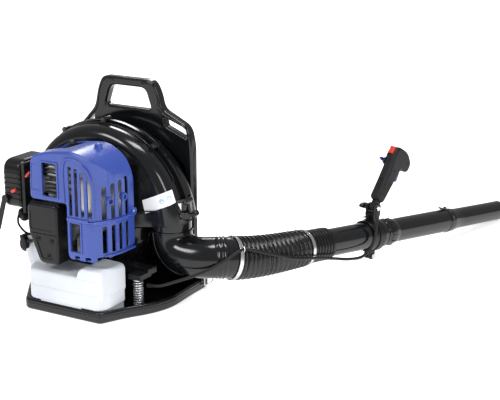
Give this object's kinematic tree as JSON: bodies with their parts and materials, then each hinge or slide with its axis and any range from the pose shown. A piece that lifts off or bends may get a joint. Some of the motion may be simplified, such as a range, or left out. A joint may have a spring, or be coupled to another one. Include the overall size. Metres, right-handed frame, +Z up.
{
  "type": "backpack leaf blower",
  "caption": "Petrol leaf blower worn on the back, with a finned two-stroke engine, spiral fan housing, flexible hose, long nozzle tubes and a pistol-grip throttle.",
  "frame": {"origin": "middle of the underside of the base, where it stands on the ground", "axes": "+X the wearer's right, +Y forward along the way the nozzle points, +Z up"},
  "size_m": [0.85, 1.2201, 0.498],
  "materials": {
    "black_gloss": "polished black moulding",
    "black_matte": "lightly grained black moulding",
    "blue": "satin blue moulding",
    "white_tank": "smooth translucent white polyethylene",
    "rubber": "matte",
    "steel": "zinc plated",
    "alloy": "as cast",
    "red": "smooth",
    "navy": "smooth",
    "fabric": "woven nylon over foam"
  },
  "bodies": {
    "machine": {"base_tray": "black_gloss", "back_frame": "black_gloss", "volute_rear_shell": "black_gloss", "volute_front_shell": "black_gloss", "crankcase": "alloy", "main_bearing_rear": "steel", "main_bearing_front": "steel", "cylinder": "alloy", "spark_plug": "steel", "spark_plug_cap": "rubber", "muffler": "steel", "ignition_coil": "black_matte", "carburettor": "alloy", "air_filter_plate": "black_matte", "air_filter_element": "fabric", "air_filter_cover": "black_matte", "engine_cover": "blue", "starter_cover": "black_matte", "fuel_tank": "white_tank", "engine_bracket": "black_matte", "spring_left": "steel", "spring_right": "steel", "rubber_mount_left": "rubber", "rubber_mount_right": "rubber", "outlet_elbow": "black_gloss", "bellows_near": "rubber", "hose_clamp_near": "steel", "throttle_cable_rear": "rubber", "back_pad": "fabric", "shoulder_strap_left": "fabric", "shoulder_strap_right": "fabric"},
    "hose": {"bellows_far": "rubber"},
    "boom": {"hose_clamp_far": "steel", "swivel_cuff": "black_matte", "throttle_cable_front": "rubber"},
    "tube": {"swivel_tube": "black_gloss", "middle_tube": "black_gloss", "nozzle": "black_gloss"},
    "bracket": {"handle_bracket": "black_matte", "bracket_bolt": "steel"},
    "handle": {"grip_shell_left": "black_matte", "grip_shell_right": "black_matte"},
    "tilt_knob": {"tilt_knob": "black_matte"},
    "throttle_trigger": {"throttle_trigger": "navy"},
    "cruise_lever": {"cruise_lever": "navy"},
    "stop_switch": {"stop_switch": "red"},
    "crank": {"fan_impeller": "alloy", "flywheel": "alloy", "crank_half_front": "steel", "crank_half_rear": "steel"},
    "piston": {"piston": "alloy", "connecting_rod": "steel"},
    "starter_grip": {"starter_grip": "black_matte"},
    "starter_reel": {"starter_reel": "white_tank", "starter_rope": "fabric"},
    "choke_lever": {"choke_lever": "black_matte"},
    "fuel_cap": {"fuel_cap": "black_matte"},
    "primer_bulb": {"primer_bulb": "rubber"},
    "strap_ring_left": {"strap_ring_left": "steel"},
    "strap_ring_right": {"strap_ring_right": "steel"}
  },
  "joints": [
    {"name": "boom_yaw", "type": "hinge", "parent": "machine", "child": "hose", "pos_m": [0.3179, 0.1292, 0.1045], "axis": [0, 0, 1], "range_deg": [-30, 25], "stiffness_Nm_per_rad": 2, "deforming": ["bellows_near", "throttle_cable_rear"]},
    {"name": "boom_pitch", "type": "hinge", "parent": "hose", "child": "boom", "pos_m": [0.369, 0.2201, 0.102], "axis": [0.9636, -0.2672, 0], "range_deg": [0, 40], "stiffness_Nm_per_rad": 2, "deforming": ["bellows_far", "throttle_cable_front"]},
    {"name": "tube_swivel", "type": "hinge", "parent": "boom", "child": "tube", "pos_m": [0.386, 0.264, 0.1], "axis": [0.2661, 0.9597, -0.0906], "range_deg": [-60, 60], "deforming": ["throttle_cable_front"]},
    {"name": "handle_slide", "type": "slide", "parent": "tube", "child": "bracket", "axis": [0.2661, 0.9597, -0.0906], "range_m": [-0.08, 0.02], "deforming": ["throttle_cable_front"]},
    {"name": "handle_tilt", "type": "hinge", "parent": "bracket", "child": "handle", "pos_m": [0.45476, 0.51195, 0.14689], "axis": [0.9636, -0.2672, 0], "range_deg": [-35, 50], "deforming": ["throttle_cable_front"]},
    {"name": "tilt_knob_turn", "type": "hinge", "parent": "bracket", "child": "tilt_knob", "pos_m": [0.45476, 0.51195, 0.14689], "axis": [0.9636, -0.2672, 0], "continuous": true},
    {"name": "throttle_trigger_pull", "type": "hinge", "parent": "handle", "child": "throttle_trigger", "pos_m": [0.47772, 0.59474, 0.23167], "axis": [-0.9636, 0.2672, 0], "range_deg": [0, 18], "stiffness_Nm_per_rad": 0.2, "springref_deg": -11.46},
    {"name": "cruise_lever_turn", "type": "hinge", "parent": "handle", "child": "cruise_lever", "pos_m": [0.45388, 0.57612, 0.25408], "axis": [0.9636, -0.2672, 0], "range_deg": [0, 50]},
    {"name": "stop_switch_rock", "type": "hinge", "parent": "handle", "child": "stop_switch", "pos_m": [0.47416, 0.58192, 0.27865], "axis": [0.9636, -0.2672, 0], "range_deg": [0, 12]},
    {"name": "crank_turn", "type": "hinge", "parent": "machine", "child": "crank", "pos_m": [-0.035, -0.061, 0.193], "axis": [0, 1, 0], "continuous": true},
    {"name": "piston_stroke", "type": "slide", "parent": "machine", "child": "piston", "axis": [0, 0, 1], "range_m": [0, 0.034]},
    {"name": "starter_pull", "type": "slide", "parent": "machine", "child": "starter_grip", "axis": [-0.9709, 0, -0.2396], "range_m": [0, 0.5], "stiffness_N_per_m": 20, "springref_m": -0.1},
    {"name": "starter_reel_turn", "type": "hinge", "parent": "machine", "child": "starter_reel", "pos_m": [-0.035, -0.144, 0.193], "axis": [0, 1, 0], "range_deg": [0, 1230]},
    {"name": "choke_lever_turn", "type": "hinge", "parent": "machine", "child": "choke_lever", "pos_m": [-0.158, -0.155, 0.248], "axis": [0, 1, 0], "range_deg": [0, 60]},
    {"name": "fuel_cap_turn", "type": "hinge", "parent": "machine", "child": "fuel_cap", "pos_m": [-0.131, -0.108, 0.134], "axis": [-1, 0, 0], "continuous": true},
    {"name": "primer_bulb_press", "type": "slide", "parent": "machine", "child": "primer_bulb", "axis": [0, 1, 0], "range_m": [0, 0.004], "stiffness_N_per_m": 600, "springref_m": -0.002},
    {"name": "strap_ring_left_swing", "type": "hinge", "parent": "machine", "child": "strap_ring_left", "pos_m": [-0.193, 0.15, 0.04], "axis": [0, 1, 0], "range_deg": [-5, 100]},
    {"name": "strap_ring_right_swing", "type": "hinge", "parent": "machine", "child": "strap_ring_right", "pos_m": [0.193, 0.15, 0.04], "axis": [0, 1, 0], "range_deg": [-100, 5]}
  ],
  "couplings": [
    {"joint": "starter_reel_turn", "follows": "starter_pull", "rad_per_m": 42.55}
  ]
}
